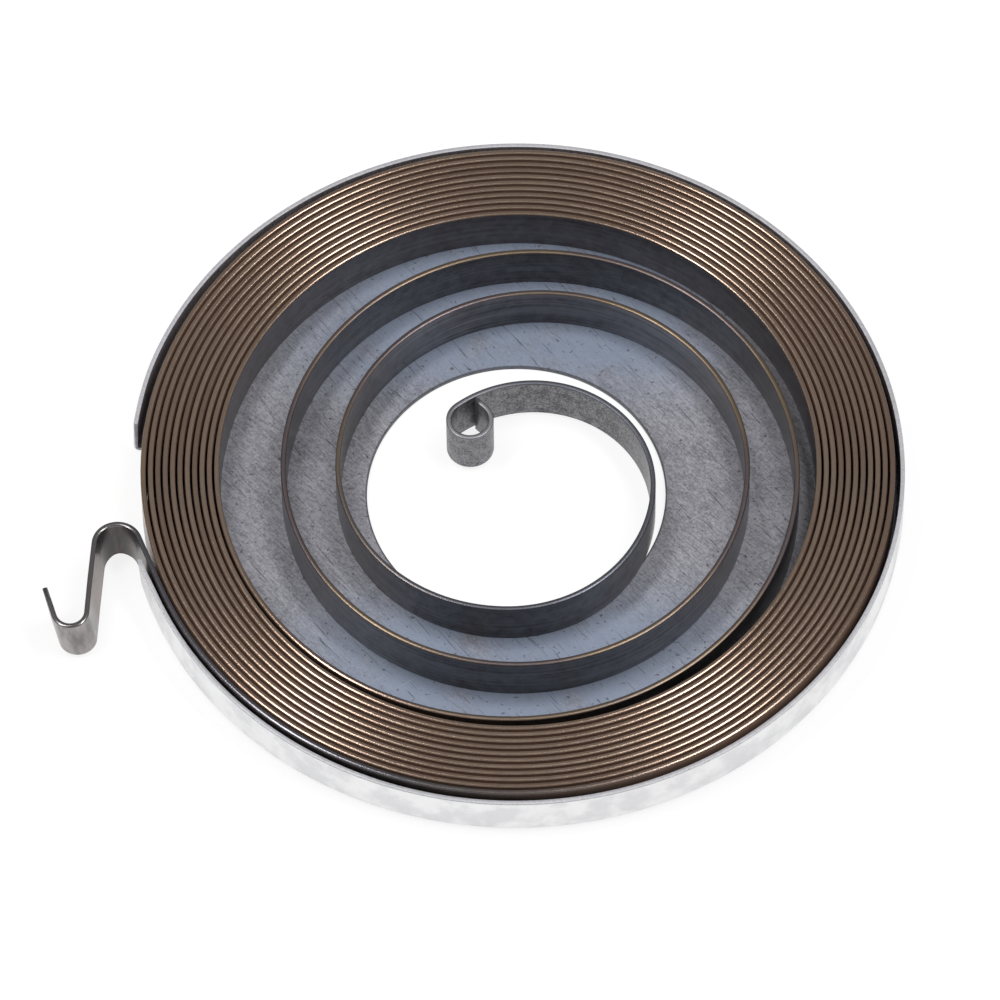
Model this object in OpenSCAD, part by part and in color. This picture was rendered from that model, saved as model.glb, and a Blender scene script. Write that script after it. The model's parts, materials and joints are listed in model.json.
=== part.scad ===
// Spiral power spring wound into its drawn sheet-steel case, as in a pull-cord starter.
// Millimetres. The origin is on the case axis at the underside of its floor, +Z out of the open side.
// The wall notch and the outer hook of the strip are on the -X side.

/* [Spring case] */
// Outside diameter of the wall
case_d = 75; // [65:0.5:90]
// Height of the rim above the underside of the floor
case_h = 5; // [4:0.1:7]
// Thickness of the sheet
sheet_t = 0.4; // [0.3:0.05:0.8]
// Inside radius of the bend between the floor and the wall
bend_r = 0.35; // [0.2:0.05:1]
// Diameter of the hole in the floor
hole_d = 28.9; // [22:0.1:34]

/* [Wall notch] */
// Distance from the centre line to the edge beside the free run of wall
notch_far = 5.7; // [3:0.1:8]
// Distance from the centre line to the edge beside the outer hook
notch_hook = 9.8; // [8:0.1:12]
// Depth of the notch, measured in from the outside of the wall
notch_depth = 1.8; // [1.5:0.1:3]

/* [Strip] */
// Width of the strip, which stands on edge on the floor
strip_w = 5.2; // [4:0.1:7]
// Thickness of the strip
strip_t = 0.5; // [0.3:0.05:0.6]

/* [Tight turns] */
// Turns packed against the wall
tight_turns = 11; // [8:1:13]
// Gap between neighbouring tight turns
turn_gap = 0.21; // [0.1:0.01:0.4]
// Smallest gap between the outermost turn and the wall
wall_gap = 0.18; // [0.1:0.02:0.6]

/* [Loose turns] */
// Radius of each quarter of the first loose turn, as a share of the innermost tight radius
loose_1 = [0.977, 0.95, 0.871, 0.835]; // [0.4:0.001:1]
// The same for the second loose turn
loose_2 = [0.778, 0.763, 0.687, 0.672]; // [0.4:0.001:1]
// The same for the last three quarters, which end at the top of the inner arm
loose_3 = [0.564, 0.481, 0.398]; // [0.35:0.001:1]

/* [Inner arm and eye] */
// Radius of the inner arm, as a share of the innermost tight radius
arm_share = 0.407; // [0.35:0.001:0.43]
// Angle through which the inner arm runs on to the eye
arm_sweep = 38; // [25:1:50]
// Inside diameter of the eye
eye_d = 3.6; // [3:0.1:5]
// Angle through which the eye is curled
eye_sweep = 276; // [272:1:280]
// Length of the tail where the strip ends at the eye
eye_tail = 1.15; // [0.2:0.05:1.2]

/* [Outer hook] */
// Run of strip between leaving the pack and passing the notch edge
hook_lead = 2.7; // [2:0.1:4]
// Length of the run from the pack to the arch
hook_run = 5.4; // [5:0.1:8]
// Inside diameter of the arch, which turns the strip back
arch_d = 3.9; // [3:0.1:6]
// Angle through which the arch is bent
arch_sweep = 153; // [120:1:175]
// Length of the leg between the arch and the crook
hook_leg = 7.9; // [4:0.1:12]
// Inside diameter of the crook, which turns the strip the other way
crook_d = 2.7; // [2:0.1:5]
// Angle through which the crook is bent
crook_sweep = 160; // [120:1:175]
// Length of the tip where the strip ends at the hook
hook_tip = 3.2; // [1:0.1:6]
// Radius of the runs that are almost straight: run, leg, tip and tail
bow_r = 250; // [100:10:500]

/* [Hidden] */
$fn = 96;

// Case
case_r = case_d / 2;
bend_out = bend_r + sheet_t; // outside radius of the bend
cut = 1; // how far a cutter runs past the sheet

// Pack: half turns of falling radius whose centres alternate about the axis, each tangent to the next
pitch = strip_t + turn_gap;
outer_gap = max(wall_gap, bend_r - strip_t / 2); // the rounded lower edge also clears the bend
outer_r = case_r - sheet_t - outer_gap - strip_t / 2 - pitch / 4;
half_turns = 2 * tight_turns;
inner_r = outer_r - (half_turns - 1) * pitch / 2;
pack_c = -pitch / 4;
exit_angle = 180 + fine(asin((notch_hook + hook_lead) / outer_r));

// Runs of strip, each [radius, angle], with a positive radius where it bends to the left
tight_runs = [for (j = [0 : half_turns - 1]) [outer_r - j * pitch / 2, j == 0 ? 360 - exit_angle : 180]];
loose_runs = [for (share = concat(loose_1, loose_2, loose_3)) [fine(inner_r * share), 90]];
arm_runs = [[fine(inner_r * arm_share), arm_sweep], [(eye_d + strip_t) / 2, eye_sweep], bowed(eye_tail)];
hook_runs = [
    bowed(hook_run),
    [(arch_d + strip_t) / 2, arch_sweep],
    bowed(hook_leg),
    [-(crook_d + strip_t) / 2, crook_sweep],
    bowed(hook_tip)
];

// Poses [x, y, heading] where the strip leaves the pack, looking inwards along the turns and outwards
pack_start = [pack_c + outer_r * cos(exit_angle), outer_r * sin(exit_angle), exit_angle + 90];
hook_start = [pack_start.x, pack_start.y, pack_start.z + 180];

// A length or an angle to the nearest thousandth
function fine(x) = round(x * 1000) / 1000;

// An almost straight run of a given length
function bowed(length) = [bow_r, fine(length / bow_r * 180 / PI)];

// Centre of a run that starts at a pose
function run_centre(pose, r) = [pose.x - r * sin(pose.z), pose.y + r * cos(pose.z)];

// Pose at the end of a run
function run_end(pose, run) =
    let (r = run[0], c = run_centre(pose, r), heading = pose.z + sign(r) * run[1])
    [c.x + r * sin(heading), c.y - r * cos(heading), heading];

// Poses at the start of every run in a chain
function chain(start, runs) =
    [for (i = 0, pose = start; i < len(runs); pose = run_end(pose, runs[i]), i = i + 1) pose];

spring_case();
spring_strip();

// Half section of the cup: floor, bend and wall, from the hole to the rim
module case_section() {
    difference() {
        union() {
            translate([hole_d / 2, 0]) square([case_r - bend_out - hole_d / 2, sheet_t]);
            translate([case_r - sheet_t, bend_out]) square([sheet_t, case_h - bend_out]);
            translate([case_r - bend_out, bend_out]) intersection() {
                circle(bend_out);
                translate([0, -bend_out]) square(bend_out);
            }
        }
        translate([case_r - bend_out, bend_out]) circle(bend_r);
    }
}

module spring_case() {
    color([0.72, 0.74, 0.78]) difference() {
        rotate_extrude() case_section();
        translate([-case_r - cut, -notch_hook, -cut])
            cube([notch_depth + cut, notch_hook + notch_far, case_h + 2 * cut]);
    }
}

// Cross section of the strip on its floor: flat faces and fully rounded edges
module strip_section() {
    translate([-strip_t / 2, sheet_t + strip_t / 2]) square([strip_t, strip_w - strip_t]);
    for (y = [strip_t / 2, strip_w - strip_t / 2]) translate([0, sheet_t + y]) circle(strip_t / 2, $fn = 24);
}

// One run of strip from its starting pose, bent about its centre. The centre is reached in two moves, whole
// thousandths and then the rest, so that each run meets the next face to face.
module strip_run(pose, run) {
    centre = run_centre(pose, run[0]);
    near = [fine(centre.x), fine(centre.y)];
    from = run[0] > 0 ? pose.z - 90 : pose.z + 90 - run[1];
    translate(near) translate(centre - near)
        rotate_extrude(angle = run[1], start = from) translate([abs(run[0]), 0]) strip_section();
}

module strip_chain(start, runs) {
    poses = chain(start, runs);
    for (i = [0 : len(runs) - 1]) strip_run(poses[i], runs[i]);
}

module spring_strip() {
    color([0.45, 0.38, 0.33]) {
        strip_chain(pack_start, concat(tight_runs, loose_runs, arm_runs));
        strip_chain(hook_start, hook_runs);
    }
}
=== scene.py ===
"""Spiral power spring in its drawn case: the coiled strip, the case, their finishes and a plain studio."""
import json
from math import asin, ceil, copysign, cos, pi, radians, sin, tan

import bmesh
import bpy
from bpy.props import FloatProperty, FloatVectorProperty, IntProperty, PointerProperty
from mathutils import Euler, Matrix, Vector


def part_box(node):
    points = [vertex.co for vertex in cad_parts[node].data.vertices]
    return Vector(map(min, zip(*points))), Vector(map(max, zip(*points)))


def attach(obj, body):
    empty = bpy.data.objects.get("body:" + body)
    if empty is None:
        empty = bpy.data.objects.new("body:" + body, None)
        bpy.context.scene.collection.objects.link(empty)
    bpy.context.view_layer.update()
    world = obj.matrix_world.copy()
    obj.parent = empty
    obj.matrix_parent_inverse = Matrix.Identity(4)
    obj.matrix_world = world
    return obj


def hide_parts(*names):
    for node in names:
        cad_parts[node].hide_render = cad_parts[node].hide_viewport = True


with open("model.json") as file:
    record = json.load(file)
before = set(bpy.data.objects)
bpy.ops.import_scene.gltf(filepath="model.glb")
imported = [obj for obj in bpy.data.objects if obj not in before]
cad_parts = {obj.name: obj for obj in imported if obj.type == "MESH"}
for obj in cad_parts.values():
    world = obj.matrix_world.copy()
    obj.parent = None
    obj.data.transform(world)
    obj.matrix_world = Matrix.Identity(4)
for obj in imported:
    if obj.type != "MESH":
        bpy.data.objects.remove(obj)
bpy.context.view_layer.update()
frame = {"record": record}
BOXES = {node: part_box(node) for node in ("spring_case", "spring_strip")}

bl_info = {
    "name": "Spiral Power Spring",
    "version": (1, 0, 0),
    "blender": (4, 5, 0),
    "location": "View3D > Sidebar > Spring",
    "description": "Builds a coiled power spring in its drawn case, with a plain studio",
    "category": "Add Mesh",
}

MM = 0.001

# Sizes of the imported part
CASE_R = BOXES["spring_case"][1].x
CASE_H = BOXES["spring_case"][1].z
STRIP_LOW, STRIP_HIGH = (corner.z for corner in BOXES["spring_strip"])
SHEET_T = STRIP_LOW  # the strip stands on the floor of the case

# Steps of the meshes
CASE_STEPS = 240  # round the case
BEND_STEPS = 8  # round the bend of the sheet
STRIP_POINTS = 16  # round the section of the strip
TURN_STEP = radians(2.5)  # along the turns
TIGHT_STEP = radians(8)  # along the bends of the eye and the hook
TIGHT_R = 4 * MM  # up to this radius a run counts as such a bend

# Where each finish of the case sets in and where it is full, in millimetres
RIM_IN = (0.7, 0.55)  # painted highlight on the rim: in from the outside of the wall
RIM_DOWN = (0.25, 0.05)  # painted highlight on the rim: down from its top
WALL_IN = (0.3, 0.08)  # near-white wall, a painted reflection: in from its outside
HOLE_OUT = (0.2, 0.1)  # dark cut edge of the hole: out from the hole
BLUE_IN = (1.2, 2.2)  # painted blue reflection: in from the outside of the wall
BLUE_ACROSS = (26.46, 7.75)  # painted blue reflection: to either side of the axis
BLUE_DEEP = (6.32, 16.12)  # painted blue reflection: in front of the axis and behind it

# Where each finish of the strip sets in and where it is full, in millimetres
EDGE_DOWN = (0.22, 0.10)  # upper edge: down from its top
BROWN_DOWN = (4.5, 0.5)  # painted light in the gaps of the pack, on the upper faces: down from the upper edge
BROWN_OUT = (28.95, 29.25)  # painted light in the gaps of the pack, on the upper faces: out from the axis
PACK_OUT = (28.4, 28.8)  # tight turns: out from the axis
SECOND_IN = (23.6, 21.4)  # second loose turn: in towards the axis
SECOND_OUT = (17.0, 18.5)  # second loose turn: out from the axis
LAST_IN = (17.6, 16.2)  # last loose turn: in towards the axis
ARM_IN = (14.2, 11.6)  # inner arm: in towards the axis
EYE_IN = (9.5, 8.0)  # eye: in towards the axis
HOOK_X = (-36.6, -38.2)  # hook: out through the notch
FIRST_ALONG = (95.0, 55.0)  # outermost stretch: along the strip, back towards the hook
LEG_ALONG = (7.5, 10.5)  # leg of the hook: along the strip from its tip
ARCH_ALONG = (13.0, 17.0)  # arch of the hook: along the strip from its tip

# Sockets of a Mix node for colours
MIX_FACTOR, MIX_FIRST, MIX_SECOND, MIX_RESULT = 0, 6, 7, 2


def length(name, description, millimetres):
    """A length property whose default is given in millimetres."""
    return FloatProperty(name=name, description=description, default=millimetres * MM, unit="LENGTH",
                         precision=5)


def point(name, description, millimetres):
    """A property for a place, whose default is given in millimetres."""
    return FloatVectorProperty(name=name, description=description, size=3, subtype="TRANSLATION",
                               default=[part * MM for part in millimetres])


def angle(name, description, degrees):
    """An angle property whose default is given in degrees."""
    return FloatProperty(name=name, description=description, default=radians(degrees), subtype="ANGLE")


def colour(name, description, default):
    """A colour property in linear values."""
    return FloatVectorProperty(name=name, description=description, default=default, size=3, subtype="COLOR",
                               min=0.0, max=1.0)


def level(name, description, default):
    """A property for a share, a brightness or a power."""
    return FloatProperty(name=name, description=description, default=default, min=0.0)


def share_list(name, description, default):
    """A list of shares of one radius."""
    return FloatVectorProperty(name=name, description=description, default=default, size=len(default),
                               precision=4)


class SpringSizes(bpy.types.PropertyGroup):
    """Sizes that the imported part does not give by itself."""

    bend_r: length("Bend radius", "Inside radius between the floor and the wall of the case", 0.35)
    notch_far: length("Notch, far edge", "From the centre line to the edge beside the free run of wall", 5.7)
    notch_hook: length("Notch, hook edge", "From the centre line to the edge beside the outer hook", 9.8)
    notch_depth: length("Notch depth", "Measured in from the outside of the wall", 1.8)
    notch_pull: length("Notch, wall bent in", "How far the free end of the wall is bent in", 0.15)
    pull_run: length("Run bent in", "Run of wall over which its free end is bent in", 8.0)
    notch_flare: length("Notch, wall bent out", "How far the end beside the hook is bent out", 0.25)
    flare_run: length("Run bent out", "Run of wall over which the end beside the hook is bent out", 4.0)
    edge_r: length("Edge rounding", "Rounding of the sheet's cut edges", 0.1)
    strip_t: length("Strip thickness", "Thickness of the spring strip", 0.5)
    crown: length("Edge crown", "Height of the rounding along the strip's edges", 0.10)
    lean: angle("Hook lean", "Lean of the outer hook, its lower edge towards the case", 6.5)
    lean_start: length("Lean start", "From the axis to where the hook begins to lean", 37.5)
    lean_full: length("Lean full", "From the axis to where the hook leans fully", 40.5)
    turn_gap: length("Turn gap", "Gap between neighbouring tight turns", 0.21)
    wall_gap: length("Wall gap", "Smallest gap between the outermost turn and the wall", 0.18)
    tight_turns: IntProperty(name="Tight turns", description="Turns packed against the wall",
                             default=11, min=1)
    loose: share_list("Loose turns", "Radius of each quarter turn, as a share of the innermost tight radius",
                      (0.977, 0.95, 0.871, 0.835, 0.778, 0.763, 0.687, 0.672, 0.564, 0.481, 0.398))
    arm_share: level("Arm radius", "As a share of the innermost tight radius", 0.407)
    arm_sweep: angle("Arm sweep", "Angle through which the inner arm runs on to the eye", 38)
    eye_sweep: angle("Eye sweep", "Angle through which the eye is curled", 276)
    eye_tail: length("Eye tail", "Run of strip past the eye", 1.15)
    hook_lead: length("Hook lead", "Run of strip between leaving the pack and passing the notch edge", 2.7)
    hook_run: length("Hook run", "Run from the pack to the arch", 5.4)
    arch_d: length("Arch diameter", "Inside diameter of the arch", 3.9)
    arch_sweep: angle("Arch sweep", "Angle through which the arch is bent", 153)
    hook_leg: length("Hook leg", "Run between the arch and the crook", 7.9)
    crook_sweep: angle("Crook sweep", "Angle through which the crook is bent", 160)
    hook_tip: length("Hook tip", "Run of strip past the crook", 3.2)
    bow_r: length("Bow radius", "Radius of the runs that are almost straight", 250.0)


class SpringFinishes(bpy.types.PropertyGroup):
    """Colours of the two finishes."""

    # Painted reflection, not burnishing: the wall's outside is the same zinc sheet as the floor, painted
    # near white; only its cloudy patches are the sheet's own
    wall_reflection_pale: colour("Wall, pale", "Burnished outside of the case's wall", (0.95, 0.95, 0.955))
    # wall_dull paints the highlight on the rim, the pale stray marks on the floor and the duller patches of
    # the wall's painted reflection
    wall_dull: colour("Wall, dull", "Cloudy patches of the wall, and the rim", (0.80, 0.80, 0.815))
    zinc_pale: colour("Zinc, pale", "Bright patches of the coated floor", (0.44, 0.438, 0.482))
    zinc_dull: colour("Zinc, dull", "Dull patches of the coated floor", (0.178, 0.175, 0.198))
    # Painted reflection, not a tint of the coating: a bluish cast painted on the floor in front of the axis
    # and behind it
    zinc_painted_blue: colour("Zinc, blue", "Blue tint of the coating", (0.268, 0.322, 0.432))
    zinc_speck: colour("Zinc, specks", "Dark pits, marks and cut edge of the floor", (0.06, 0.06, 0.07))
    edge_bronze: colour("Edge, bronze", "Tempered edges of the tight turns", (0.275, 0.194, 0.149))
    edge_gold: colour("Edge, gold", "Brighter stretches of those edges", (0.36, 0.265, 0.205))
    edge_straw: colour("Edge, straw", "Straw temper tint on the loose turns", (0.185, 0.14, 0.10))
    edge_violet: colour("Edge, violet", "Violet temper tint on the loose turns", (0.135, 0.108, 0.11))
    edge_blue: colour("Edge, blue", "Edge of the outermost and innermost stretches", (0.12, 0.123, 0.142))
    # Painted light, not heat colour: pale brown on the upper faces of the tight turns, so that the narrow
    # gaps between them read lighter than their shade
    face_painted_light: colour("Face, brown", "Heat colour on the faces of the tight turns", (0.42, 0.27, 0.20))
    face_steel: colour("Face, steel", "Flat faces of the loose turns", (0.155, 0.148, 0.15))
    face_black: colour("Face, black", "Scale on the flat faces", (0.056, 0.05, 0.05))
    arm_pale: colour("Arm, pale", "Pale grain of the softened inner arm and eye", (0.275, 0.27, 0.285))
    arm_dark: colour("Arm, dark", "Dark grain of the softened inner arm and eye", (0.08, 0.078, 0.085))
    hook_pale: colour("Hook, pale", "Pale streaks of the softened hook", (0.38, 0.35, 0.352))
    hook_dark: colour("Hook, dark", "Dark streaks of the softened hook", (0.20, 0.185, 0.185))
    hook_leg: colour("Hook, leg", "Warmer leg of the hook", (0.14, 0.09, 0.083))
    hook_arch: colour("Hook, arch", "Darker bend where the hook leaves the case", (0.06, 0.055, 0.057))


class SpringStudio(bpy.types.PropertyGroup):
    """Viewpoint, light and floor."""

    elevation: angle("Elevation", "Height of the viewpoint above the horizon", 58.33)
    roll: angle("Roll", "Turn of the picture, counter-clockwise", 0.75)
    distance: length("Distance", "From the viewpoint to the object", 1125.0)
    lens: FloatProperty(name="Lens", description="Focal length in millimetres", default=418.4)
    side: length("Sideways", "Viewpoint moved along the picture's width", -1.575)
    rise: length("Upwards", "Viewpoint moved along the picture's height", -0.455)
    sky: level("Sky", "Level of the surroundings", 0.3)
    box_watts: level("Soft boxes", "Power of each soft box", 0.9)
    box_width: length("Soft box width", "Width of each soft box", 70.0)
    left_far: point("Left box, far end", "Middle of the left box's far end", (-93, 134, 473))
    left_near: point("Left box, near end", "Middle of the left box's near end", (-279, -122, 397))
    right_far: point("Right box, far end", "Middle of the right box's far end", (84, 128, 476))
    right_near: point("Right box, near end", "Middle of the right box's near end", (255, -145, 406))
    floor_half: length("Floor", "From the middle of the floor to its sides", 1500.0)
    floor_drop: length("Floor drop", "Gap under the case, so that the two do not flicker", 0.05)
    floor_tone: level("Floor tone", "How much light the floor throws back at the object", 0.86)
    floor_shade: level("Floor shade", "How strongly the floor shows shadows to the viewer", 0.2)
    floor_glow: level("Floor glow", "Light added to the floor that the viewer sees", 0.84)


class Value:
    """One output of a shader node. Arithmetic on it adds Math nodes."""

    def __init__(self, graph, socket):
        self.graph = graph
        self.socket = socket

    def math(self, operation, *terms):
        return self.graph.add("ShaderNodeMath", {"operation": operation}, terms)

    def __add__(self, other):
        return self.math("ADD", self, other)

    def __sub__(self, other):
        return self.math("SUBTRACT", self, other)

    def __rsub__(self, other):
        return self.math("SUBTRACT", other, self)

    def __mul__(self, other):
        return self.math("MULTIPLY", self, other)

    def __pow__(self, other):
        return self.math("POWER", self, other)

    def __rpow__(self, other):
        return self.math("POWER", other, self)

    __radd__ = __add__
    __rmul__ = __mul__

    def step(self, low, high):
        """0 below low, 1 above high and smooth between; the other way round if low is the larger."""
        return self.graph.add("ShaderNodeMapRange", {"interpolation_type": "SMOOTHSTEP"},
                              {"Value": self, "From Min": low, "From Max": high})


class Graph:
    """The node tree of one material or of the surroundings."""

    def __init__(self, owner):
        owner.use_nodes = True
        self.tree = owner.node_tree
        self.tree.nodes.clear()

    def add(self, kind, settings=None, inputs=(), output=0):
        """Adds a node, sets it up, feeds its inputs and returns one of its outputs."""
        node = self.tree.nodes.new(kind)
        for name, setting in (settings or {}).items():
            setattr(node, name, setting)
        for key, given in inputs.items() if isinstance(inputs, dict) else enumerate(inputs):
            socket = node.inputs[key]
            if isinstance(given, Value):
                self.tree.links.new(given.socket, socket)
            elif socket.type == "RGBA":
                socket.default_value = (*given, 1.0)
            else:
                socket.default_value = given
        return Value(self, node.outputs[output])

    def mix(self, factor, first, second):
        """A colour between two colours."""
        return self.add("ShaderNodeMix", {"data_type": "RGBA"},
                        {MIX_FACTOR: factor, MIX_FIRST: first, MIX_SECOND: second}, MIX_RESULT)

    def coats(self, base, *layers):
        """A colour with others laid over it in turn, each given as its mask and its colour."""
        for mask, tint in layers:
            base = self.mix(mask, base, tint)
        return base

    def noise(self, at, scale=1.0, detail=3.0, roughness=0.55):
        """Soft noise from 0 to 1."""
        return self.add("ShaderNodeTexNoise", {}, {"Vector": at, "Scale": scale, "Detail": detail,
                                                   "Roughness": roughness})

    def vector(self, x, y, z):
        return self.add("ShaderNodeCombineXYZ", {}, (x, y, z))

    def place(self):
        """Place on the object in millimetres, as one vector and as its three parts."""
        at = self.add("ShaderNodeTexCoord", {}, (), "Object")
        at = self.add("ShaderNodeVectorMath", {"operation": "SCALE"}, {0: at, "Scale": 1 / MM})
        return (at, *(self.add("ShaderNodeSeparateXYZ", {}, (at,), axis) for axis in "XYZ"))

    def turned(self, at, degrees, size):
        """The place turned about Z and then divided by a size, for marks with a length and a direction."""
        return self.add("ShaderNodeMapping", {"vector_type": "TEXTURE"},
                        {"Vector": at, "Rotation": (0, 0, radians(degrees)), "Scale": size})

    def bump(self, height, millimetres):
        """A surface normal from a height from 0 to 1 and the depth that it stands for."""
        return self.add("ShaderNodeBump", {}, {"Strength": 1.0, "Distance": millimetres * MM,
                                               "Height": height})

    def finish(self, **inputs):
        """The metal surface itself."""
        given = {name.replace("_", " ").title(): value for name, value in inputs.items()}
        self.output(self.add("ShaderNodeBsdfPrincipled", {}, given))

    def output(self, surface, kind="ShaderNodeOutputMaterial"):
        """Ends the tree with a surface."""
        node = self.tree.nodes.new(kind)
        self.tree.links.new(surface.socket, node.inputs["Surface"])


def zinc_sheet(finishes):
    """Coated sheet: cloudy, with slanting marks, grain and dark pits, a painted blue reflection on the
    floor, a painted highlight on the rim and a near-white wall that is painted reflection.
    """
    material = bpy.data.materials.new("zinc_sheet")
    g = Graph(material)
    at, x, y, z = g.place()
    reach = (x * x + y * y) ** 0.5
    inward = CASE_R / MM - reach
    # Painted highlight: the rim on top of the wall is painted paler than the floor's zinc
    rim = inward.step(*RIM_IN) * (CASE_H / MM - z).step(*RIM_DOWN)
    wall = inward.step(*WALL_IN) * (1.0 - rim)
    hole_edge = (reach - mount_radius("floor_hole") / MM).step(*HOLE_OUT)

    # Patterns
    clouds = g.noise(at, scale=0.13, detail=4.0)
    patches = g.noise(at, scale=0.3, detail=5.0, roughness=0.6)
    grain = g.noise(at, scale=4.0, roughness=0.7)
    pits = g.noise(at, scale=2.2, detail=2.0, roughness=0.5).step(0.65, 0.71)
    strokes = g.noise(g.turned(at, -46, (0.9, 0.17, 1.0)), roughness=0.65)
    scores = g.noise(g.turned(at, -52, (3.0, 0.13, 1.0)), detail=1.0, roughness=0.4).step(0.67, 0.74)
    strays = g.noise(g.turned(at, 33, (5.0, 0.13, 1.0)), detail=1.0, roughness=0.4).step(0.74, 0.80)
    # Painted blue reflection: a bluish cast laid in clouds over the floor, in front of the axis and behind
    # it, away from the wall
    blue = inward.step(*BLUE_IN) * clouds.step(0.2, 0.5)
    for part, band in ((x, BLUE_ACROSS), (y, BLUE_DEEP)):
        blue = blue * (part * part).step(*(bound ** 2 for bound in band))

    # Colours
    tone = clouds * 0.25 + strokes * 0.35 + grain * 0.4
    zinc = g.mix(tone.step(0.36, 0.64), finishes.zinc_dull, finishes.zinc_pale)
    # Painted reflection: the wall's outside painted near white, with the sheet's own cloudy patches
    painted_wall_reflection = g.mix(patches.step(0.38, 0.62), finishes.wall_dull, finishes.wall_reflection_pale)
    base = g.coats(zinc,
                   # painted blue reflection
                   (blue * 0.85, finishes.zinc_painted_blue),
                   (strays * 0.25, finishes.wall_dull),
                   (scores * 0.7 + pits * 0.7 + hole_edge * 0.8, finishes.zinc_speck),
                   # painted highlight on the rim
                   (rim * 0.4, finishes.wall_dull),
                   # painted reflection on the wall's outside
                   (wall, painted_wall_reflection))
    height = strokes * 0.5 + grain * 0.5 - pits * 0.5 - scores * 0.4
    g.finish(base_color=base, metallic=0.28 + wall * 0.5,
             roughness=clouds * 0.12 + strokes * 0.14 + pits * 0.15 + 0.28, normal=g.bump(height, 0.012))
    return material


def tempered_strip(finishes):
    """Tempered strip: bronze edges, black faces with painted light in the gaps of the pack as pale brown on
    their upper part, a grainy inner arm and a streaky hook.
    """
    material = bpy.data.materials.new("tempered_strip")
    g = Graph(material)
    at, x, y, z = g.place()
    along = g.add("ShaderNodeAttribute", {"attribute_name": "along"}, (), "Fac") * (1 / MM)
    reach = (x * x + y * y) ** 0.5
    down = STRIP_HIGH / MM - z
    edge = down.step(*EDGE_DOWN)
    first = along.step(*FIRST_ALONG)
    # Painted light in the gaps of the pack: pale brown on the upper faces of the tight turns, full near the
    # top and gone deeper down
    brown = down.step(*BROWN_DOWN) * reach.step(*BROWN_OUT) * (1.0 - first)
    packed = reach.step(*PACK_OUT)
    second = reach.step(*SECOND_IN) * reach.step(*SECOND_OUT)
    last = reach.step(*LAST_IN)
    arm = reach.step(*ARM_IN)
    eye = reach.step(*EYE_IN)
    hook = x.step(*HOOK_X)

    # Patterns, the first four measured along the strip
    drawn = g.noise(g.vector(along * 0.05, z * 2.2, 0.0), detail=4.0, roughness=0.6)
    turn = g.noise(g.vector(along * 0.02, 3.7, 0.0))
    tint = g.noise(g.vector(along * 0.035, 9.1, 0.0), detail=2.0)
    streak = g.noise(g.vector(along * 0.9, z * 0.22, 5.3), detail=4.0, roughness=0.6)
    speck = g.noise(at, scale=3.2, roughness=0.6)
    grain = g.noise(at, scale=5.0, detail=2.0, roughness=0.6)
    mottle = g.noise(at, scale=0.9, detail=4.0, roughness=0.6)

    # Colours of the upper edge
    bronze = g.mix(turn.step(0.3, 0.7), finishes.edge_bronze, finishes.edge_gold)
    temper = g.mix(tint.step(0.42, 0.58), finishes.edge_violet, finishes.edge_straw)
    edges = g.coats(temper,
                    (last, finishes.edge_blue),
                    (packed, bronze),
                    (first * 0.9, finishes.edge_blue),
                    (hook * 0.8, finishes.hook_dark),
                    (eye * 0.8, finishes.arm_pale),
                    (speck.step(0.60, 0.72) * 0.4, finishes.face_black))

    # Colours of the faces
    steel = g.mix((drawn * 0.6 + mottle * 0.6).step(0.35, 0.8), finishes.face_black, finishes.face_steel)
    grainy = g.mix((grain * 0.6 + mottle * 0.4 + eye * 0.06).step(0.40, 0.64),
                   finishes.arm_dark, finishes.arm_pale)
    streaky = g.coats(g.mix(streak.step(0.35, 0.65), finishes.hook_dark, finishes.hook_pale),
                      (along.step(*LEG_ALONG) * 0.9, finishes.hook_leg),
                      (along.step(*ARCH_ALONG) * streak.step(0.85, 0.5), finishes.hook_arch))
    faces = g.coats(steel,
                    (second * drawn.step(0.3, 0.7) * 0.5, finishes.arm_pale),
                    (speck.step(0.62, 0.72) * 0.3, finishes.arm_pale),
                    # painted light in the gaps of the pack
                    (brown * 0.92 + packed * 0.08, finishes.face_painted_light),
                    (arm, grainy),
                    (hook, streaky))
    # Where the painted light in the gaps lies, the metal is less metallic, so that its brown shows
    g.finish(base_color=g.mix(edge, faces, edges), metallic=0.85 - brown * (1.0 - edge) * 0.6,
             roughness=mottle * 0.12 + speck * 0.1 + arm * 0.12 - edge * packed * 0.12 + 0.2,
             normal=g.bump(speck * 0.6 + drawn * 0.4, 0.010))
    return material


def add_piece(name, bm, material, node):
    """Turns a finished mesh into a piece that stands for a CAD node."""
    mesh = bpy.data.meshes.new(name)
    bm.to_mesh(mesh)
    bm.free()
    mesh.shade_smooth()
    mesh.materials.append(material)
    piece = bpy.data.objects.new(name, mesh)
    bpy.context.scene.collection.objects.link(piece)
    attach(piece, "root")
    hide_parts(node)
    return piece


def even_normals(piece):
    """Keeps flat faces flat beside small roundings."""
    piece.modifiers.new("even_normals", "WEIGHTED_NORMAL").weight = 80


def mount_radius(name):
    """Radius of one of the part's round mounts."""
    return next(m["dims"]["r_mm"] for m in frame["record"]["mounts"] if m["name"] == name) * MM


def ease(value, low, high):
    """0 at low, 1 at high and smooth between."""
    share = min(max((value - low) / (high - low), 0.0), 1.0)
    return share * share * (3 - 2 * share)


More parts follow.
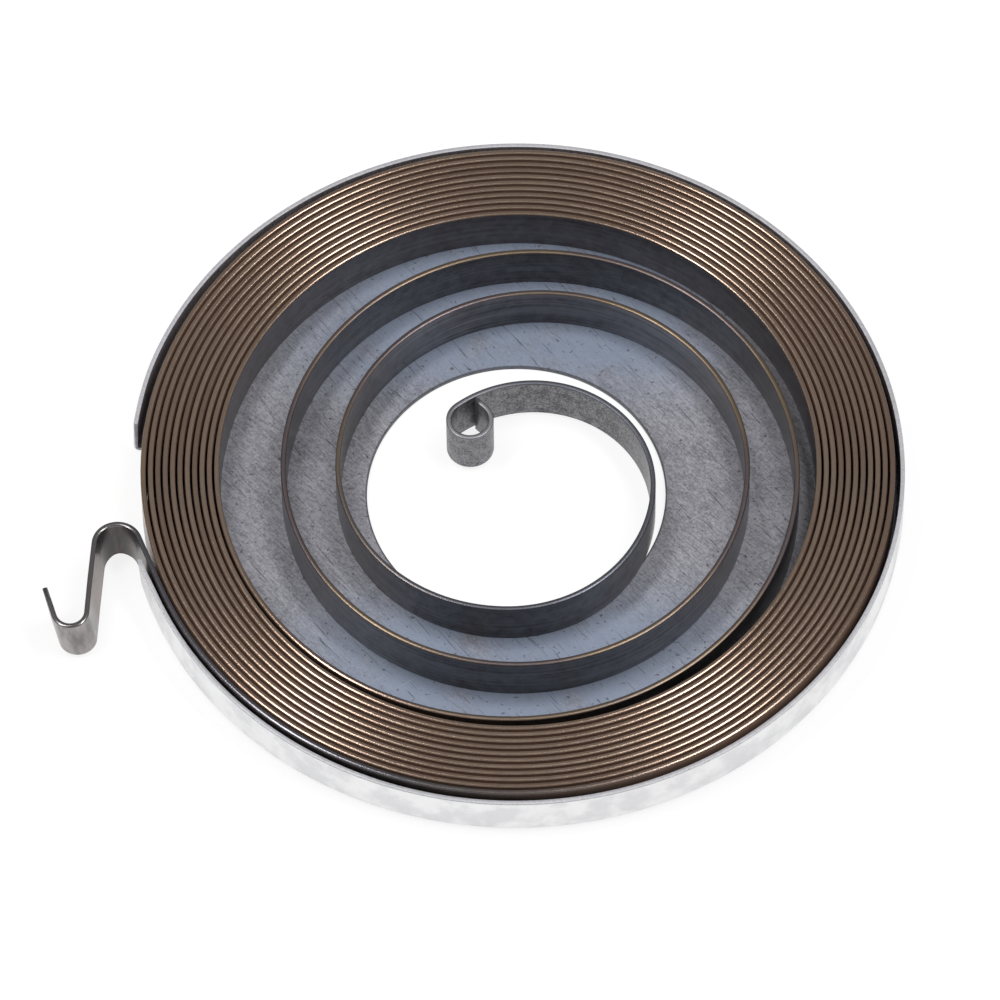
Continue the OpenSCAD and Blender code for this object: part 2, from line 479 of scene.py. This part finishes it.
class SPRING_OT_case(bpy.types.Operator):
    """Draw the sheet case with its floor hole and wall notch"""

    bl_idname = "spring.case"
    bl_label = "Drawn Case"

    def execute(self, context):
        sizes = context.scene.spring_sizes
        bm = bmesh.new()
        self.draw_cup(bm, sizes.bend_r + SHEET_T)
        self.cut_notch(bm, sizes)
        self.bend_ends(bm, sizes)
        bmesh.ops.solidify(bm, geom=bm.faces[:], thickness=SHEET_T)
        bmesh.ops.recalc_face_normals(bm, faces=bm.faces[:])
        case = add_piece("drawn_case", bm, zinc_sheet(context.scene.spring_finishes), "spring_case")
        bevel = case.modifiers.new("edges", "BEVEL")
        bevel.width = sizes.edge_r
        bevel.segments = 2
        bevel.limit_method = "ANGLE"
        bevel.angle_limit = radians(50)
        even_normals(case)
        return {"FINISHED"}

    @staticmethod
    def draw_cup(bm, bend_out):
        """The outside of the cup: a profile from the hole to the rim, spun about the axis."""
        bend_x = CASE_R - bend_out
        hole = bmesh.ops.create_vert(bm, co=(mount_radius("floor_hole"), 0, 0))["vert"]
        floor = bmesh.ops.extrude_vert_indiv(bm, verts=hole)["verts"]
        bmesh.ops.translate(bm, verts=floor, vec=(bend_x - hole[0].co.x, 0, 0))
        bend = bmesh.ops.spin(bm, geom=floor, cent=(bend_x, 0, bend_out), axis=(0, -1, 0),
                              angle=pi / 2, steps=BEND_STEPS)["geom_last"]
        foot = [v for v in bend if isinstance(v, bmesh.types.BMVert)]
        wall = bmesh.ops.extrude_vert_indiv(bm, verts=foot)["verts"]
        bmesh.ops.translate(bm, verts=wall, vec=(0, 0, CASE_H - bend_out))
        bmesh.ops.spin(bm, geom=bm.verts[:] + bm.edges[:], cent=(0, 0, 0), axis=(0, 0, 1), angle=2 * pi,
                       steps=CASE_STEPS, use_merge=True)
        bmesh.ops.remove_doubles(bm, verts=bm.verts[:], dist=1e-6)
        bmesh.ops.recalc_face_normals(bm, faces=bm.faces[:])

    def cut_notch(self, bm, sizes):
        """Cuts the notch out of the wall and of the edge of the floor."""
        chord = -CASE_R + sizes.notch_depth
        self.cut(bm, bm.faces[:], (chord, 0, 0), (1, 0, 0))
        for side in (-sizes.notch_hook, sizes.notch_far):
            outside = [f for f in bm.faces if f.calc_center_median().x < chord]
            self.cut(bm, outside, (0, side, 0), (0, 1, 0))
        notch = [f for f in bm.faces if f.calc_center_median().x < chord
                 and -sizes.notch_hook < f.calc_center_median().y < sizes.notch_far]
        bmesh.ops.delete(bm, geom=notch, context="FACES")

    @staticmethod
    def cut(bm, faces, at, normal):
        """Cuts faces along a plane and keeps both sides."""
        parts = [*faces, *(e for f in faces for e in f.edges), *(v for f in faces for v in f.verts)]
        bmesh.ops.bisect_plane(bm, geom=list(dict.fromkeys(parts)), dist=1e-7, plane_co=at, plane_no=normal)

    @staticmethod
    def bend_ends(bm, sizes):
        """Bends the free end of the wall in and the end beside the hook out, most at the rim."""
        free, hooked = sizes.notch_far, -sizes.notch_hook
        for v in bm.verts:
            if v.co.x < 0:
                pull = sizes.notch_pull * ease(v.co.y, free + sizes.pull_run, free)
                flare = sizes.notch_flare * ease(v.co.y, hooked - sizes.flare_run, hooked)
                v.co.x += (pull if v.co.y > 0 else -flare) * v.co.z / CASE_H


class SPRING_OT_strip(bpy.types.Operator):
    """Coil the strip from the outer hook to the inner eye"""

    bl_idname = "spring.strip"
    bl_label = "Coiled Strip"

    def execute(self, context):
        sizes = context.scene.spring_sizes
        start, runs = self.chain(sizes)
        bm = bmesh.new()
        self.draw_section(bm, start, sizes)
        loop = bm.edges[:]
        bmesh.ops.contextual_create(bm, geom=loop)
        pose, marks = start, [0.0]
        for radius, sweep in runs:
            centre, pose = self.walk(pose, (radius, sweep))
            steps = max(2, ceil(sweep / (TURN_STEP if abs(radius) > TIGHT_R else TIGHT_STEP)))
            last = bmesh.ops.spin(bm, geom=loop, cent=(*centre, 0), axis=(0, 0, copysign(1, radius)),
                                  angle=sweep, steps=steps)["geom_last"]
            loop = [e for e in last if isinstance(e, bmesh.types.BMEdge)]
            reach = marks[-1]
            marks += [reach + abs(radius) * sweep * (i + 1) / steps for i in range(steps)]
        bmesh.ops.contextual_create(bm, geom=loop)
        bmesh.ops.recalc_face_normals(bm, faces=bm.faces[:])
        bm.verts.index_update()
        if len(bm.verts) != STRIP_POINTS * len(marks):
            raise RuntimeError("the strip has an odd number of points")
        along = bm.verts.layers.float.new("along")
        for v in bm.verts:
            v[along] = marks[v.index // STRIP_POINTS]
            lean = tan(sizes.lean) * ease(v.co.x, -sizes.lean_start, -sizes.lean_full)
            v.co.x += lean * (STRIP_HIGH - v.co.z)
        strip = add_piece("coiled_strip", bm, tempered_strip(context.scene.spring_finishes), "spring_strip")
        even_normals(strip)
        return {"FINISHED"}

    @staticmethod
    def draw_section(bm, start, sizes):
        """The strip's section, standing at a pose: flat faces and crowned edges."""
        radius = sizes.strip_t / 2
        half_step = pi / STRIP_POINTS
        ring = bmesh.ops.create_circle(bm, segments=STRIP_POINTS, radius=radius / cos(half_step))["verts"]
        for turn, axis in ((half_step, "Z"), (pi / 2, "X")):
            bmesh.ops.rotate(bm, verts=ring, cent=(0, 0, 0), matrix=Matrix.Rotation(turn, 3, axis))
        bmesh.ops.scale(bm, verts=ring, vec=(1, 1, sizes.crown / radius))
        bmesh.ops.translate(bm, verts=[v for v in ring if v.co.z > 0],
                            vec=(0, 0, STRIP_HIGH - STRIP_LOW - 2 * sizes.crown))
        x, y, heading = start
        bmesh.ops.rotate(bm, verts=ring, cent=(0, 0, 0), matrix=Matrix.Rotation(heading + pi / 2, 3, "Z"))
        bmesh.ops.translate(bm, verts=ring, vec=(x, y, STRIP_LOW + sizes.crown))

    @staticmethod
    def walk(pose, run):
        """Centre of a run that starts at a pose (x, y, heading), and the pose at its end."""
        x, y, heading = pose
        radius, sweep = run
        centre = (x - radius * sin(heading), y + radius * cos(heading))
        heading += copysign(sweep, radius)
        return centre, (centre[0] + radius * sin(heading), centre[1] - radius * cos(heading), heading)

    def chain(self, sizes):
        """Pose at the tip of the hook, and all runs from there to the eye as (radius, angle)."""
        half_t = sizes.strip_t / 2
        pitch = sizes.strip_t + sizes.turn_gap
        outer_r = CASE_R - SHEET_T - sizes.wall_gap - half_t - pitch / 4
        halves = 2 * sizes.tight_turns
        inner_r = outer_r - (halves - 1) * pitch / 2
        leave = pi + asin((sizes.notch_hook + sizes.hook_lead) / outer_r)

        def bowed(run):
            return sizes.bow_r, run / sizes.bow_r

        tight = [(outer_r - j * pitch / 2, pi if j else 2 * pi - leave) for j in range(halves)]
        loose = [(inner_r * share, pi / 2) for share in sizes.loose]
        arm = [(inner_r * sizes.arm_share, sizes.arm_sweep),
               (mount_radius("inner_eye") + half_t, sizes.eye_sweep),
               bowed(sizes.eye_tail)]
        hook = [bowed(sizes.hook_run),
                (sizes.arch_d / 2 + half_t, sizes.arch_sweep),
                bowed(sizes.hook_leg),
                (-mount_radius("outer_hook") - half_t, sizes.crook_sweep),
                bowed(sizes.hook_tip)]
        tip = (-pitch / 4 + outer_r * cos(leave), outer_r * sin(leave), leave + 1.5 * pi)
        for run in hook:
            tip = self.walk(tip, run)[1]
        x, y, heading = tip
        back = [(-radius, sweep) for radius, sweep in reversed(hook)]
        return (x, y, heading + pi), back + tight + loose + arm


class SPRING_OT_stage(bpy.types.Operator):
    """Set up the floor, the soft light and the viewpoint"""

    bl_idname = "spring.stage"
    bl_label = "Studio"

    def execute(self, context):
        scene = context.scene
        studio = scene.spring_studio
        self.floor(scene, studio)
        self.sky(scene, studio)
        self.soft_box(scene, studio, "box_left", studio.left_far, studio.left_near)
        self.soft_box(scene, studio, "box_right", studio.right_far, studio.right_near)
        self.camera(scene, studio)
        scene.view_settings.view_transform = "Standard"
        return {"FINISHED"}

    @staticmethod
    def floor(scene, studio):
        """A large pale floor, white to the viewer, that keeps the object's shadow."""
        bm = bmesh.new()
        bmesh.ops.create_grid(bm, x_segments=1, y_segments=1, size=studio.floor_half)
        bmesh.ops.translate(bm, verts=bm.verts[:], vec=(0, 0, -studio.floor_drop))
        mesh = bpy.data.meshes.new("floor")
        bm.to_mesh(mesh)
        bm.free()
        material = bpy.data.materials.new("pale_floor")
        g = Graph(material)
        plain = g.add("ShaderNodeBsdfDiffuse", {}, {"Color": (studio.floor_tone,) * 3})
        shade = g.add("ShaderNodeBsdfDiffuse", {}, {"Color": (studio.floor_shade,) * 3})
        glow = g.add("ShaderNodeEmission", {}, {"Color": (studio.floor_glow,) * 3})
        white = g.add("ShaderNodeAddShader", {}, (shade, glow))
        seen = sum(g.add("ShaderNodeLightPath", {}, (), f"Is {kind} Ray")
                   for kind in ("Camera", "Glossy", "Transmission"))
        g.output(g.add("ShaderNodeMixShader", {}, (seen, plain, white)))
        mesh.materials.append(material)
        piece = bpy.data.objects.new("floor", mesh)
        scene.collection.objects.link(piece)

    @staticmethod
    def sky(scene, studio):
        """Even surroundings."""
        scene.world = bpy.data.worlds.new("studio")
        g = Graph(scene.world)
        g.output(g.add("ShaderNodeBackground", {}, {"Color": (studio.sky,) * 3}), "ShaderNodeOutputWorld")

    @staticmethod
    def soft_box(scene, studio, name, far, near):
        """A long soft box between two places, facing the object."""
        middle = (Vector(far) + Vector(near)) / 2
        run = Vector(near) - Vector(far)
        lamp = bpy.data.lights.new(name, "AREA")
        lamp.shape = "RECTANGLE"
        lamp.size = run.length
        lamp.size_y = studio.box_width
        lamp.energy = studio.box_watts
        box = bpy.data.objects.new(name, lamp)
        away = middle.normalized()
        across = away.cross(run).normalized()
        turn = Matrix((across.cross(away), across, away)).transposed()
        box.matrix_world = Matrix.Translation(middle) @ turn.to_4x4()
        scene.collection.objects.link(box)

    @staticmethod
    def camera(scene, studio):
        """The raised viewpoint, rolled a little and moved in the plane of the picture."""
        camera = bpy.data.objects.new("camera", bpy.data.cameras.new("camera"))
        camera.data.lens = studio.lens
        camera.data.clip_end = 10.0
        turn = Euler((pi / 2 - studio.elevation, 0, 0)).to_matrix() @ Matrix.Rotation(-studio.roll, 3, "Z")
        back = turn @ Vector((studio.side, studio.rise, studio.distance))
        camera.matrix_world = Matrix.Translation(back) @ turn.to_4x4()
        scene.collection.objects.link(camera)
        scene.camera = camera


class SPRING_PT_panel(bpy.types.Panel):
    """Lists the steps that build the spring"""

    bl_idname = "SPRING_PT_panel"
    bl_label = "Spiral Power Spring"
    bl_space_type = "VIEW_3D"
    bl_region_type = "UI"
    bl_category = "Spring"

    def draw(self, context):
        for step in STEPS:
            self.layout.operator(step.bl_idname)


STEPS = (SPRING_OT_case, SPRING_OT_strip, SPRING_OT_stage)
GROUPS = {"spring_sizes": SpringSizes, "spring_finishes": SpringFinishes, "spring_studio": SpringStudio}


def register():
    for cls in (*GROUPS.values(), *STEPS, SPRING_PT_panel):
        bpy.utils.register_class(cls)
    for name, group in GROUPS.items():
        setattr(bpy.types.Scene, name, PointerProperty(type=group))


def unregister():
    for name in GROUPS:
        delattr(bpy.types.Scene, name)
    for cls in (SPRING_PT_panel, *reversed(STEPS), *GROUPS.values()):
        bpy.utils.unregister_class(cls)


def main():
    """Builds everything in order."""
    register()
    bpy.ops.spring.case()
    bpy.ops.spring.strip()
    bpy.ops.spring.stage()


if __name__ == "__main__":
    main()
